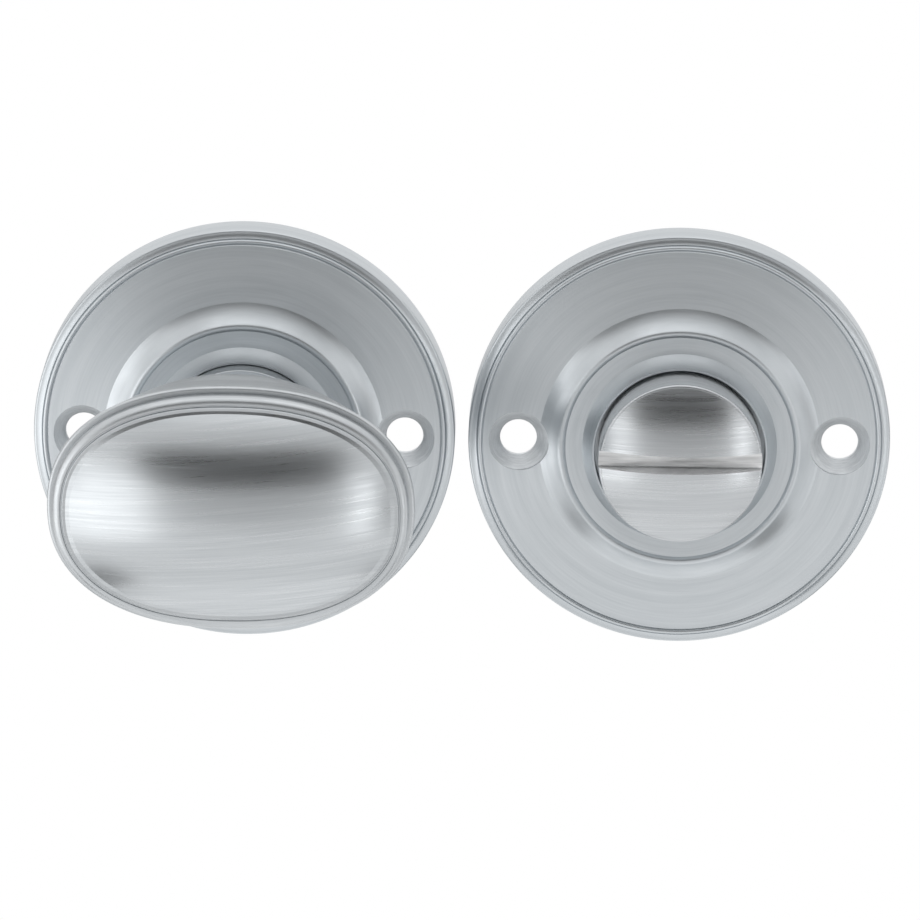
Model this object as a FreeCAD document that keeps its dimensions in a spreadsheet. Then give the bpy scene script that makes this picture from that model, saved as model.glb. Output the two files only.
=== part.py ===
import FreeCAD, Part
import math
import os

import Sketcher
from FreeCAD import Placement, Rotation, Vector

# A bathroom thumb turn and its coin release, the two halves of one set.
# Both are fixed upright as on a door: +Z is up, the fronts face -Y and the
# door face is the plane Y = 0. The origin is the middle of the turn's rose.
# Each turned piece is drawn in its own frame, where its height runs forwards
# from the door face, and its placement then tips that height towards -Y.

# Driving sizes in millimetres
driving_sizes = {
    # rose, from its seat outwards
    "seat_diameter": 20.2,
    "seat_height": 7.0,
    "seat_edge": 0.1,
    "boss_rim_width": 0.25,
    "upper_step_run": 1.2,
    "upper_step_rise": 2.25,
    "step_floor_width": 2.17,
    "step_lip_width": 0.71,
    "step_lip_drop": 0.18,
    "lower_step_run": 2.25,
    "lower_step_rise": 1.6,
    "face_rise": 0.93,
    "face_edge_height": 4.85,
    # fixing holes, which set how wide the face is
    "countersink_diameter": 7.2,
    "countersink_angle": 90.0,
    "countersink_bite": 1.13,
    "countersink_margin": 0.6,
    "fixing_hole": 4.4,
    "fixing_boss_diameter": 8.6,
    "fixing_boss_bore": 6.2,
    # rose, moulded rim
    "fine_groove_width": 0.16,
    "fine_groove_depth": 0.16,
    "rim_bead_width": 0.5,
    "rim_bead_rise": 0.3,
    "rim_band_width": 0.95,
    "rim_band_rise": 0.25,
    "rim_edge_radius": 0.3,
    "rim_height": 4.3,
    # rose, hollow back
    "rim_wall": 2.0,
    "face_wall": 2.35,
    "hub_diameter": 17.0,
    "hub_height": 3.6,
    # bearing in the middle of the rose
    "bore_diameter": 11.0,
    "shank_diameter": 9.0,
    "running_clearance": 0.05,
    "bush_flange_inset": 1.0,
    "bush_flange": 0.8,
    "end_float": 0.1,
    # retaining parts behind the hub
    "flat_washer_diameter": 15.4,
    "flat_washer": 0.5,
    "spring_washer_diameter": 14.0,
    "spring_washer": 0.25,
    "spring_washer_height": 0.55,
    "washer_clearance": 0.25,
    "circlip": 0.8,
    "circlip_slack": 0.05,
    "circlip_groove_depth": 0.45,
    "circlip_rim": 1.9,
    "circlip_opening": 3.4,
    "circlip_lug_diameter": 2.6,
    "circlip_lug_hole": 1.1,
    "shank_tail": 1.5,
    # square spindle and its pin
    "spindle_width": 5.0,
    "spindle_reach": 52.0,
    "spindle_chamfer": 0.6,
    "socket_height": 9.0,
    "socket_clearance": 0.05,
    "pin_diameter": 1.5,
    "pin_height": 0.2,
    "pin_clearance": 0.02,
    "pin_chamfer": 0.2,
    # thumb turn
    "base_clearance": 0.2,
    "base_height": 11.8,
    "base_edge_radius": 0.5,
    "neck_diameter": 12.6,
    "neck_height": 14.5,
    "neck_fillet": 0.8,
    "head_length": 42.2,
    "head_width": 29.0,
    "head_end_radius": 11.6,
    "head_height": 34.0,
    "lip_thickness": 0.9,
    "lip_edge_radius": 0.35,
    "bead_inset": 0.7,
    "bead_height": 1.9,
    "bead_radius": 0.85,
    "dome_groove_inset": 1.6,
    "dome_groove_width": 0.25,
    "dome_groove_depth": 0.22,
    "dome_step_width": 0.4,
    "dome_rise": 5.0,
    # coin release
    "disc_clearance": 0.45,
    "disc_height": 14.0,
    "disc_edge_radius": 0.35,
    "disc_dome_rise": 2.2,
    "slot_width": 2.1,
    "slot_depth": 2.85,
    "slot_offset": 0.4,
    # space between the rims of the two roses
    "pair_gap": 1.6,
}

doc = FreeCAD.newDocument("thumb_turn_set")
sheet = doc.addObject("Spreadsheet::Sheet", "sizes")
for row, (alias, number) in enumerate(driving_sizes.items(), start=1):
    sheet.set(f"A{row}", alias)
    sheet.set(f"B{row}", str(number))
    sheet.setAlias(f"B{row}", alias)
doc.recompute()


class Length:
    # A length that keeps the sheet formula it comes from beside its number.

    def __init__(self, formula, value):
        self.formula = formula
        self.value = value

    def joined(self, sign, other, value):
        return Length(f"({self.formula} {sign} {other.formula})", value)

    def __add__(self, other):
        other = as_length(other)
        return self.joined("+", other, self.value + other.value)

    def __sub__(self, other):
        other = as_length(other)
        return self.joined("-", other, self.value - other.value)

    def __mul__(self, other):
        other = as_length(other)
        return self.joined("*", other, self.value * other.value)

    def __truediv__(self, other):
        other = as_length(other)
        return self.joined("/", other, self.value / other.value)

    def __neg__(self):
        return Length(f"(-1 * {self.formula})", -self.value)

    def root(self):
        return Length(f"sqrt({self.formula})", math.sqrt(self.value))


def as_length(item):
    if isinstance(item, Length):
        return item
    return Length(repr(float(item)), float(item))


def size(alias):
    return Length(f"sizes.{alias}", driving_sizes[alias])


def half(alias):
    return size(alias) / 2


def derived(alias, length):
    # Adds a worked out length to the sheet, under a name of its own.
    row = len(sheet.getUsedCells()) // 2 + 1
    sheet.set(f"A{row}", alias)
    sheet.set(f"B{row}", "=" + length.formula.replace("sizes.", ""))
    sheet.setAlias(f"B{row}", alias)
    return Length(f"sizes.{alias}", length.value)


# Radii of the rose, each from the one inside it
seat = derived("seat_radius", half("seat_diameter"))
boss_rim = derived("boss_rim_radius", seat + size("boss_rim_width"))
upper_foot = derived("upper_foot_radius", boss_rim + size("upper_step_run"))
lip_in = derived("lip_inner_radius", upper_foot + size("step_floor_width"))
lower_top = derived("lower_top_radius", lip_in + size("step_lip_width"))
lower_foot = derived("lower_foot_radius", lower_top + size("lower_step_run"))
countersink = half("countersink_diameter")
fixing_reach = derived("fixing_reach", lower_foot - size("countersink_bite") + countersink)
face_out = derived("face_radius", fixing_reach + countersink + size("countersink_margin"))
bead_in = derived("bead_inner_radius", face_out + size("fine_groove_width"))
bead_out = derived("bead_outer_radius", bead_in + size("rim_bead_width"))
band_in = derived("band_inner_radius", bead_out + size("fine_groove_width"))
rim = derived("rose_radius", band_in + size("rim_band_width"))
release_middle = derived("release_middle", rim * 2 + size("pair_gap"))

# Heights and radii that several pieces share
face_foot_height = size("face_edge_height") + size("face_rise")
cavity_ceiling = face_foot_height - size("face_wall") - size("face_rise") / 2
step_top_height = face_foot_height + size("lower_step_rise")
step_floor_height = step_top_height - size("step_lip_drop")
boss_height = step_floor_height + size("upper_step_rise")
bush_top = size("seat_height") + size("bush_flange")
shoulder_height = bush_top + size("end_float")
washer_back = size("hub_height") - size("flat_washer")
circlip_front = washer_back - size("end_float") - size("spring_washer_height")
circlip_back = circlip_front - size("circlip")
groove_radius = half("shank_diameter") - size("circlip_groove_depth")
washer_hole = half("shank_diameter") + size("washer_clearance")
socket_width = size("spindle_width") + size("socket_clearance") * 2


# Sketching and feature helpers
def origin_plane(body, role):
    return [item for item in body.Origin.OriginFeatures if item.Role == role][0]


node_names = []


def new_body(name, middle=None):
    body = doc.addObject("PartDesign::Body", name)
    body.Label = name
    node_names.append(name)
    stand_up(body, middle)
    return body


def stand_up(item, middle):
    item.Placement = Placement(Vector(0, 0, 0), Rotation(Vector(1, 0, 0), 90))
    if middle is not None:
        item.setExpression("Placement.Base.x", middle.formula)


def new_sketch(body, name, role="XY_Plane", height=None):
    sketch = body.newObject("Sketcher::SketchObject", name)
    sketch.AttachmentSupport = (origin_plane(body, role), [""])
    sketch.MapMode = "FlatFace"
    if height is not None:
        sketch.setExpression("AttachmentOffset.Base.z", as_length(height).formula)
    return sketch


def bind(sketch, kind, *arguments):
    # The last argument is the length that drives the constraint.
    *places, length = arguments
    index = sketch.addConstraint(Sketcher.Constraint(kind, *places, length.value))
    sketch.setExpression(f"Constraints[{index}]", length.formula)


def bind_point(sketch, edge, end, across, up):
    for kind, axis, length in (("DistanceX", -2, as_length(across)), ("DistanceY", -1, as_length(up))):
        if length.value == 0:
            sketch.addConstraint(Sketcher.Constraint("PointOnObject", edge, end, axis))
        elif length.value > 0:
            bind(sketch, kind, -1, 1, edge, end, length)
        else:
            bind(sketch, kind, edge, end, -1, 1, -length)


def arc_middle(first, last, radius, side):
    # The middle lies left of the way from first to last where side is +1.
    chord = last - first
    reach = math.sqrt(max(radius ** 2 - chord.Length ** 2 / 4, 0))
    left = Vector(-chord.y, chord.x, 0).normalize()
    return (first + last) / 2 + left * reach * side


def bulge(radius):
    return radius, 1


def hollow(radius):
    return radius, -1


def outline(sketch, corners):
    # A corner's third item is the arc that leads on from it, as a radius and a side.
    places = [Vector(as_length(corner[0]).value, as_length(corner[1]).value, 0) for corner in corners]
    starts, ends, arcs = [], [], []
    for index, corner in enumerate(corners):
        first = places[index]
        last = places[(index + 1) % len(places)]
        if len(corner) == 3:
            radius, side = corner[2]
            middle = arc_middle(first, last, radius.value, side)
            turns = [math.atan2(p.y - middle.y, p.x - middle.x) for p in (first, last)]
            if side < 0:
                turns.reverse()
            circle = Part.Circle(middle, Vector(0, 0, 1), radius.value)
            edge = sketch.addGeometry(Part.ArcOfCircle(circle, turns[0], turns[1]), False)
            starts.append((edge, 1 if side > 0 else 2))
            ends.append((edge, 2 if side > 0 else 1))
            arcs.append((edge, radius))
        else:
            edge = sketch.addGeometry(Part.LineSegment(first, last), False)
            starts.append((edge, 1))
            ends.append((edge, 2))
    for index, (edge, end) in enumerate(starts):
        sketch.addConstraint(Sketcher.Constraint("Coincident", *ends[index - 1], edge, end))
        bind_point(sketch, edge, end, *corners[index][:2])
    for edge, radius in arcs:
        bind(sketch, "Radius", edge, radius)


def revolve(body, name, corners):
    sketch = new_sketch(body, name + "_profile", "XZ_Plane")
    outline(sketch, corners)
    feature = body.newObject("PartDesign::Revolution", name)
    feature.Profile = sketch
    feature.ReferenceAxis = (sketch, ["V_Axis"])
    feature.Angle = 360
    sketch.Visibility = False
    return feature


def extrude(body, kind, name, sketch, length, reversed_way=False):
    feature = body.newObject(f"PartDesign::{kind}", name)
    feature.Profile = sketch
    feature.setExpression("Length", as_length(length).formula)
    feature.Reversed = reversed_way
    return feature


def square(sketch, width):
    side = width / 2
    outline(sketch, [(-side, -side), (side, -side), (side, side), (-side, side)])


def chord_radius(run, rise, fullness):
    # Radius of a cove or bead over a run and rise. A fullness of 0.5 is a half circle.
    return (run * run + rise * rise).root() * fullness


def round_edges(body, name, base, height, radius):
    doc.recompute()
    names = []
    for index, edge in enumerate(base.Shape.Edges, start=1):
        if all(abs(corner.Z - height.value) < edge_tolerance for corner in edge.Vertexes):
            names.append(f"Edge{index}")
    fillet = body.newObject("PartDesign::Fillet", name)
    fillet.Base = (base, names)
    fillet.setExpression("Radius", radius.formula)
    return fillet


edge_tolerance = 1e-4
rim_cove = 1.6
lip_round = 0.78
step_cove = 2.2
half_round = 0.54


# Rose: a hollow casting with a moulded rim, two raised steps and a seat
def make_rose(name, middle=None):
    body = new_body(name, middle)
    edge = size("rim_edge_radius")
    band_top = size("rim_height") + size("rim_band_rise")
    notch = size("fine_groove_width") / 2
    notch_floor = band_top - size("fine_groove_depth")
    bead_foot = band_top + size("rim_bead_rise") / 2
    face_notch = size("face_edge_height") - size("fine_groove_depth")
    bore = half("bore_diameter")
    hub = half("hub_diameter")
    step_ceiling = step_floor_height - size("face_wall")
    cavity_rim = rim - size("rim_wall")
    band_cove = hollow(chord_radius(size("rim_band_width"), size("rim_band_rise"), rim_cove))
    bead = bulge(size("rim_bead_width") * half_round)
    lower_cove = hollow(chord_radius(size("lower_step_run"), size("lower_step_rise"), step_cove))
    lip = bulge(size("step_lip_width") * lip_round)
    upper_cove = hollow(chord_radius(size("upper_step_run"), size("upper_step_rise"), step_cove))
    revolve(body, "casting", [
        (rim, 0),
        (rim, size("rim_height") - edge, bulge(edge)),
        (rim - edge, size("rim_height"), band_cove),
        (band_in, band_top),
        (band_in - notch, notch_floor),
        (bead_out, bead_foot, bead),
        (bead_in, bead_foot),
        (bead_in - notch, face_notch),
        (face_out, size("face_edge_height")),
        (lower_foot, face_foot_height, lower_cove),
        (lower_top, step_top_height, lip),
        (lip_in, step_top_height),
        (lip_in, step_floor_height),
        (upper_foot, step_floor_height, upper_cove),
        (boss_rim, boss_height),
        (seat + size("seat_edge"), boss_height),
        (seat, boss_height - size("seat_edge")),
        (seat, size("seat_height")),
        (bore, size("seat_height")),
        (bore, size("hub_height")),
        (hub, size("hub_height")),
        (hub, step_ceiling),
        (lip_in, step_ceiling),
        (lip_in, cavity_ceiling),
        (cavity_rim, cavity_ceiling),
        (cavity_rim, 0),
    ])
    doc.recompute()
    add_fixings(body)


def fixing_sketch(body, name, radius, height=None):
    sketch = new_sketch(body, name, height=height)
    for side in (-1, 1):
        add_circle(sketch, radius, fixing_reach * side, 0)
    return sketch


# Each fixing has a hollow boss that reaches the door, a screw hole with its
# countersink in the face, and a straight relief where that cuts the step.
def add_fixings(body):
    mouth = size("face_edge_height") + size("face_rise") * 0.15
    bosses = fixing_sketch(body, "boss_circles", half("fixing_boss_diameter"))
    extrude(body, "Pad", "fixing_bosses", bosses, cavity_ceiling + size("face_wall") / 4)
    bores = fixing_sketch(body, "bore_circles", half("fixing_boss_bore"))
    extrude(body, "Pocket", "boss_bores", bores, cavity_ceiling, True)
    relief = fixing_sketch(body, "relief_circles", countersink, mouth)
    extrude(body, "Pocket", "step_relief", relief, boss_height - mouth, True)
    doc.recompute()
    before = body.Shape.Volume
    hole = body.newObject("PartDesign::Hole", "countersunk_holes")
    hole.Profile = fixing_sketch(body, "fixing_centres", half("fixing_hole"), mouth)
    hole.ThreadType = "None"
    hole.DepthType = "ThroughAll"
    hole.setExpression("Diameter", size("fixing_hole").formula)
    hole.HoleCutType = "Countersink"
    hole.HoleCutCustomValues = True
    hole.setExpression("HoleCutDiameter", size("countersink_diameter").formula)
    hole.setExpression("HoleCutCountersinkAngle", size("countersink_angle").formula)
    doc.recompute()
    require_change(body, before, "the fixing holes")


def require_change(body, before, what):
    if abs(body.Shape.Volume - before) < 1:
        raise RuntimeError(f"{what} changed nothing on {body.Label}")


# Flanged bush, pressed into the hub from the front
def make_bush(name, middle=None):
    body = new_body(name, middle)
    inside = half("shank_diameter") + size("running_clearance")
    outside = half("bore_diameter")
    flange = seat - size("bush_flange_inset")
    revolve(body, "sleeve", [
        (inside, size("hub_height")),
        (outside, size("hub_height")),
        (outside, size("seat_height")),
        (flange, size("seat_height")),
        (flange, bush_top),
        (inside, bush_top),
    ])


def make_flat_washer(name, middle=None):
    body = new_body(name, middle)
    rim = half("flat_washer_diameter")
    revolve(body, "ring", [
        (washer_hole, washer_back),
        (rim, washer_back),
        (rim, size("hub_height")),
        (washer_hole, size("hub_height")),
    ])


# Curved spring washer: a flat ring bowed over a cylinder that lies across it
def make_spring_washer(name, middle=None):
    rim = half("spring_washer_diameter")
    bow = size("spring_washer_height") - size("spring_washer")
    bend = (rim * rim + bow * bow) / (bow * 2)
    crest = circlip_front + size("spring_washer_height")
    ring = tube(name + "_ring", rim, washer_hole, circlip_front - bow, bow + size("spring_washer_height") * 2)
    sheet_form = doc.addObject("Part::Cut", name + "_sheet")
    sheet_form.Base = lying_cylinder(name + "_outside", bend, crest - bend, rim)
    sheet_form.Tool = lying_cylinder(name + "_inside", bend - size("spring_washer"), crest - bend, rim)
    washer = doc.addObject("Part::Common", name)
    washer.Base = ring
    washer.Tool = sheet_form
    washer.Label = name
    node_names.append(name)
    stand_up(washer, middle)


def tube(name, outside, inside, foot, height):
    pieces = []
    for end, radius in (("outer", outside), ("inner", inside)):
        cylinder = doc.addObject("Part::Cylinder", f"{name}_{end}")
        cylinder.setExpression("Radius", radius.formula)
        cylinder.setExpression("Height", height.formula)
        cylinder.setExpression("Placement.Base.z", foot.formula)
        pieces.append(cylinder)
    ring = doc.addObject("Part::Cut", name)
    ring.Base, ring.Tool = pieces
    return ring


def lying_cylinder(name, radius, height, reach):
    # The axis runs along the local Y axis.
    cylinder = doc.addObject("Part::Cylinder", name)
    cylinder.Placement = Placement(Vector(0, 0, 0), Rotation(Vector(1, 0, 0), 90))
    cylinder.setExpression("Radius", radius.formula)
    cylinder.setExpression("Height", (reach * 4).formula)
    cylinder.setExpression("Placement.Base.y", (reach * 2).formula)
    cylinder.setExpression("Placement.Base.z", height.formula)
    return cylinder


# Circlip: an open ring that is deepest opposite its gap, with two eyes for pliers
def make_circlip(name, middle=None):
    body = new_body(name, middle)
    rim = groove_radius + size("circlip_rim")
    lug = half("circlip_lug_diameter")
    lug_across = half("circlip_opening") + lug
    lug_down = (rim * rim - lug_across * lug_across).root()
    ring = new_sketch(body, "ring_sketch", height=circlip_back)
    add_circle(ring, groove_radius, 0, 0)
    add_circle(ring, rim, 0, size("circlip_slack"))
    extrude(body, "Pad", "ring", ring, size("circlip"))
    for side in (-1, 1):
        eye = new_sketch(body, "eye_sketch", height=circlip_back)
        add_circle(eye, lug, lug_across * side, -lug_down)
        extrude(body, "Pad", "eye", eye, size("circlip"))
    doc.recompute()
    before = body.Shape.Volume
    gap = new_sketch(body, "gap_sketch", height=circlip_back)
    gap_side = half("circlip_opening")
    outline(gap, [(-gap_side, -rim * 2), (gap_side, -rim * 2), (gap_side, 0), (-gap_side, 0)])
    extrude(body, "Pocket", "gap", gap, size("circlip"), True)
    for side in (-1, 1):
        pliers = new_sketch(body, "pliers_sketch", height=circlip_back)
        add_circle(pliers, half("circlip_lug_hole"), lug_across * side, -lug_down)
        extrude(body, "Pocket", "pliers_hole", pliers, size("circlip"), True)
    doc.recompute()
    require_change(body, before, "the gap")


def add_circle(sketch, radius, across, up):
    middle = Vector(as_length(across).value, as_length(up).value, 0)
    edge = sketch.addGeometry(Part.Circle(middle, Vector(0, 0, 1), radius.value), False)
    bind_point(sketch, edge, 3, across, up)
    bind(sketch, "Radius", edge, radius)


# Ovals: four tangent arcs whose middles lie on the two axes. A spread of 1 gives
# the head's own oval, 0 gives a circle, and the joins keep one direction.
end_reach = half("head_length") - size("head_end_radius")
head_side = half("head_width")
side_radius = ((end_reach * end_reach + head_side * head_side
                - size("head_end_radius") * size("head_end_radius"))
               / ((head_side - size("head_end_radius")) * 2))
side_reach = side_radius - head_side
join_reach = side_radius - size("head_end_radius")


def oval(sketch, spread, end_radius):
    ends = end_reach * spread
    sides = side_reach * spread
    flat = end_radius + join_reach * spread
    join_x = flat * end_reach / join_reach
    join_y = flat * side_reach / join_reach - sides
    joins = [(join_x, -join_y), (join_x, join_y), (-join_x, join_y), (-join_x, -join_y)]
    middles = [(ends, 0), (0, -sides), (-ends, 0), (0, sides)]
    for index, (across, up) in enumerate(middles):
        radius = end_radius if index % 2 == 0 else flat
        middle = Vector(as_length(across).value, as_length(up).value, 0)
        reach = [Vector(x.value, y.value, 0) - middle for x, y in (joins[index], joins[(index + 1) % 4])]
        turns = [math.atan2(way.y, way.x) for way in reach]
        circle = Part.Circle(middle, Vector(0, 0, 1), radius.value)
        sketch.addGeometry(Part.ArcOfCircle(circle, turns[0], turns[1]), False)
    for edge in range(4):
        sketch.addConstraint(Sketcher.Constraint("Coincident", edge, 2, (edge + 1) % 4, 1))
        bind_point(sketch, edge, 1, *joins[edge])
    for edge in range(2):
        radius = end_radius if edge == 0 else flat
        bind(sketch, "Radius", edge, radius)
        bind(sketch, "Radius", edge + 2, radius)


def oval_sketch(body, name, height, spread, end_radius):
    sketch = new_sketch(body, name, height=height)
    oval(sketch, as_length(spread), end_radius)
    return sketch


def loft(body, name, sections):
    sketches = [oval_sketch(body, f"{name}_section", *section) for section in sections]
    feature = body.newObject("PartDesign::AdditiveLoft", name)
    feature.Profile = sketches[0]
    feature.Sections = sketches[1:]
    feature.Ruled = False
    return feature


# Shares of the way from neck to head: height, spread of the oval, end radius
back_sections = [(0.24, 0.03, 0.17), (0.44, 0.2, 0.66), (0.62, 0.45, 0.98), (0.82, 0.8, 0.99)]
# Shares of the dome's reach where its sections lie
dome_shares = [0.9, 0.76, 0.58, 0.36, 0.12]


def make_knob(name):
    body = new_body(name)
    end_radius = size("head_end_radius")
    lip_top = size("head_height") + size("lip_thickness")
    bead_top = lip_top + size("bead_height")
    lip = extrude(body, "Pad", "lip", oval_sketch(body, "lip_sketch", size("head_height"), 1, end_radius),
                  size("lip_thickness"))
    front_round = round_edges(body, "lip_front", lip, lip_top, size("lip_edge_radius"))
    round_edges(body, "lip_back", front_round, size("head_height"), size("lip_edge_radius"))
    bead = extrude(body, "Pad", "bead", oval_sketch(body, "bead_sketch", lip_top, 1, end_radius - size("bead_inset")),
                   size("bead_height"))
    round_edges(body, "bead_front", bead, bead_top, size("bead_radius"))
    groove_floor = bead_top - size("dome_groove_depth")
    groove = oval_sketch(body, "groove_sketch", bead_top, 1, end_radius - size("dome_groove_inset"))
    extrude(body, "Pocket", "groove", groove, size("dome_groove_depth"))
    step_inset = size("dome_groove_inset") + size("dome_groove_width")
    step = oval_sketch(body, "step_sketch", groove_floor, 1, end_radius - step_inset)
    extrude(body, "Pad", "step", step, size("dome_groove_depth") + size("dome_groove_width") / 2)
    add_dome(body, bead_top, end_radius - step_inset - size("dome_step_width"))
    add_back(body, end_radius)
    add_shank(body)


def add_dome(body, foot, end_radius):
    # The short section is part of a circle, and the long one is drawn out from it.
    reach = end_radius + (join_reach - side_reach)
    rise = size("dome_rise")
    radius = (reach * reach + rise * rise) / (rise * 2)
    sections = [(foot, 1, end_radius)]
    for share in dome_shares:
        inward = reach * share
        height = foot + rise - radius + (radius * radius - inward * inward).root()
        sections.append((height, share, end_radius * share))
    loft(body, "dome", sections)


def add_back(body, end_radius):
    neck = half("neck_diameter")
    way = size("head_height") - size("neck_height")
    growth = end_radius - size("lip_edge_radius") - neck
    sections = [(size("base_height") - size("base_edge_radius"), 0, neck + size("neck_fillet")),
                (size("neck_height"), 0, neck)]
    for share, spread, grown in back_sections:
        sections.append((size("neck_height") + way * share, spread, neck + growth * grown))
    sections.append((size("head_height") + size("lip_thickness") / 2, 1, end_radius - size("lip_edge_radius") * 2))
    loft(body, "back", sections)


def shank_corners(top):
    # Outline of the shank from its tail up to the shoulder, with the circlip's groove
    shank = half("shank_diameter")
    slack = size("circlip_slack")
    chamfer = size("pin_chamfer")
    tail = -size("shank_tail")
    return [
        (0, tail),
        (shank - chamfer, tail),
        (shank, tail + chamfer),
        (shank, circlip_back - slack),
        (groove_radius, circlip_back - slack),
        (groove_radius, circlip_front + slack),
        (shank, circlip_front + slack),
        (shank, shoulder_height),
    ] + top


def add_shank(body):
    base = seat - size("base_clearance")
    edge = size("base_edge_radius")
    revolve(body, "base_and_shank", shank_corners([
        (base - edge, shoulder_height),
        (base, shoulder_height + edge),
        (base, size("base_height") - edge, bulge(edge)),
        (base - edge, size("base_height")),
        (0, size("base_height")),
    ]))
    cut_socket(body)
    cut_pin_hole(body, base * 2)


def cut_pin_hole(body, length):
    sketch = new_sketch(body, "pin_sketch", "YZ_Plane")
    add_circle(sketch, half("pin_diameter") + size("pin_clearance"), 0, size("pin_height"))
    hole = body.newObject("PartDesign::Pocket", "pin_hole")
    hole.Profile = sketch
    hole.Midplane = True
    hole.setExpression("Length", length.formula)
    doc.recompute()


def cut_socket(body):
    doc.recompute()
    before = body.Shape.Volume
    sketch = new_sketch(body, "socket_sketch", height=-size("shank_tail"))
    square(sketch, socket_width)
    extrude(body, "Pocket", "socket", sketch, size("shank_tail") + size("socket_height"), True)
    doc.recompute()
    require_change(body, before, "the socket")


# Square spindle, pinned in the turn's shank, that reaches through the door
def make_spindle(name):
    body = new_body(name)
    top = size("socket_height") - size("end_float")
    foot = -size("spindle_reach")
    sketch = new_sketch(body, "section", height=foot)
    square(sketch, size("spindle_width"))
    bar = extrude(body, "Pad", "bar", sketch, top - foot)
    doc.recompute()
    ends = [f"Edge{index}" for index, edge in enumerate(bar.Shape.Edges, start=1)
            if abs(edge.Vertexes[0].Z - edge.Vertexes[-1].Z) < edge_tolerance
            and abs(edge.Vertexes[0].Z - foot.value) < edge_tolerance]
    chamfer = body.newObject("PartDesign::Chamfer", "lead_in")
    chamfer.Base = (bar, ends)
    chamfer.setExpression("Size", size("spindle_chamfer").formula)
    cut_pin_hole(body, size("spindle_width") * 2)


def make_pin(name):
    body = new_body(name)
    reach = half("shank_diameter") - size("pin_chamfer")
    radius = half("pin_diameter")
    chamfer = size("pin_chamfer")
    low = size("pin_height")
    sketch = new_sketch(body, "pin_profile", "XZ_Plane")
    outline(sketch, [
        (-reach, low),
        (reach, low),
        (reach, low + radius - chamfer),
        (reach - chamfer, low + radius),
        (chamfer - reach, low + radius),
        (-reach, low + radius - chamfer),
    ])
    pin = body.newObject("PartDesign::Revolution", "pin")
    pin.Profile = sketch
    pin.ReferenceAxis = (sketch, ["Edge1"])
    pin.Angle = 360


# Coin release: a domed disc with a slot right across it
def make_disc(name, middle):
    body = new_body(name, middle)
    disc = seat - size("disc_clearance")
    edge = size("disc_edge_radius")
    dome_out = disc - edge
    rise = size("disc_dome_rise")
    dome = (dome_out * dome_out + rise * rise) / (rise * 2)
    revolve(body, "disc_and_shank", shank_corners([
        (disc - edge, shoulder_height),
        (disc, shoulder_height + edge),
        (disc, size("disc_height") - edge, bulge(edge)),
        (dome_out, size("disc_height"), bulge(dome)),
        (0, size("disc_height") + rise),
    ]))
    cut_socket(body)
    before = body.Shape.Volume
    top = size("disc_height") + rise
    slot = new_sketch(body, "slot_sketch", height=top)
    low = size("slot_offset") - half("slot_width")
    high = low + size("slot_width")
    outline(slot, [(-disc * 2, low), (disc * 2, low), (disc * 2, high), (-disc * 2, high)])
    extrude(body, "Pocket", "slot", slot, size("slot_depth"))
    doc.recompute()
    require_change(body, before, "the slot")


for side, middle in (("turn", None), ("release", release_middle)):
    make_rose(side + "_rose", middle)
    make_bush(side + "_bush", middle)
    make_flat_washer(side + "_flat_washer", middle)
    make_spring_washer(side + "_spring_washer", middle)
    make_circlip(side + "_circlip", middle)
make_knob("turn_knob")
make_spindle("turn_spindle")
make_pin("turn_spindle_pin")
make_disc("release_disc", release_middle)

doc.recompute()
faults = [item.Name for item in doc.Objects if "Invalid" in item.State or "Error" in item.State]
if faults:
    raise RuntimeError("these objects failed: " + ", ".join(faults))

os.makedirs("parts", exist_ok=True)
for node in node_names:
    piece = doc.getObjectsByLabel(node)[0]
    if piece.Shape.isNull() or not piece.Shape.isValid():
        raise RuntimeError(f"{node} has no valid shape")
    piece.Shape.exportStep(f"parts/{node}.step")
    box = piece.Shape.BoundBox
    print(f"{node}: {len(piece.Shape.Solids)} solid, {piece.Shape.Volume:.1f} mm3,",
          f"x {box.XMin:.2f}..{box.XMax:.2f}, y {box.YMin:.2f}..{box.YMax:.2f}, z {box.ZMin:.2f}..{box.ZMax:.2f}")
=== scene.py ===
from math import atan2, cos, pi, radians, sin, sqrt, tau

import bmesh
import bpy
from mathutils import Matrix, Vector


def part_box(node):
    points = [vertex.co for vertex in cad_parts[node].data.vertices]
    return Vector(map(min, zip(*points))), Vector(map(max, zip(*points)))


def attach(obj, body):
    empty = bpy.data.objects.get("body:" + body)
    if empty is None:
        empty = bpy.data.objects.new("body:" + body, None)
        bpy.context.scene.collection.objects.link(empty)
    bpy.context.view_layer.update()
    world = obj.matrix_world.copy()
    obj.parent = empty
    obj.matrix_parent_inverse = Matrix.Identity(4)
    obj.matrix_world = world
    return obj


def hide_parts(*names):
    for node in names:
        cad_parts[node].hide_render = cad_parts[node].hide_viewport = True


# A bathroom thumb turn (left) and its coin release (right), each on a stepped rose.
# The fronts face -Y. Piece sizes below are in millimetres and become metres through mm.
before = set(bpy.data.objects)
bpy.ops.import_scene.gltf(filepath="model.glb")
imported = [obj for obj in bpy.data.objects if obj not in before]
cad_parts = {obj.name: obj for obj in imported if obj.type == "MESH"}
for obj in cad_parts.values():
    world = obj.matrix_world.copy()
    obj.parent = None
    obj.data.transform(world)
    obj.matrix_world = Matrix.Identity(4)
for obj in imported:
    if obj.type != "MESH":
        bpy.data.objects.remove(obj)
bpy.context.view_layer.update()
mm = 0.001
smoothAngle = 13
hair = 0.01  # how far past an edge a face's middle may lie when faces are picked by their place
turnLow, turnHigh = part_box("turn_rose")
releaseLow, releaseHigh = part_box("release_rose")
turnX = (turnLow.x + turnHigh.x) / 2
releaseX = (releaseLow.x + releaseHigh.x) / 2


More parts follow.
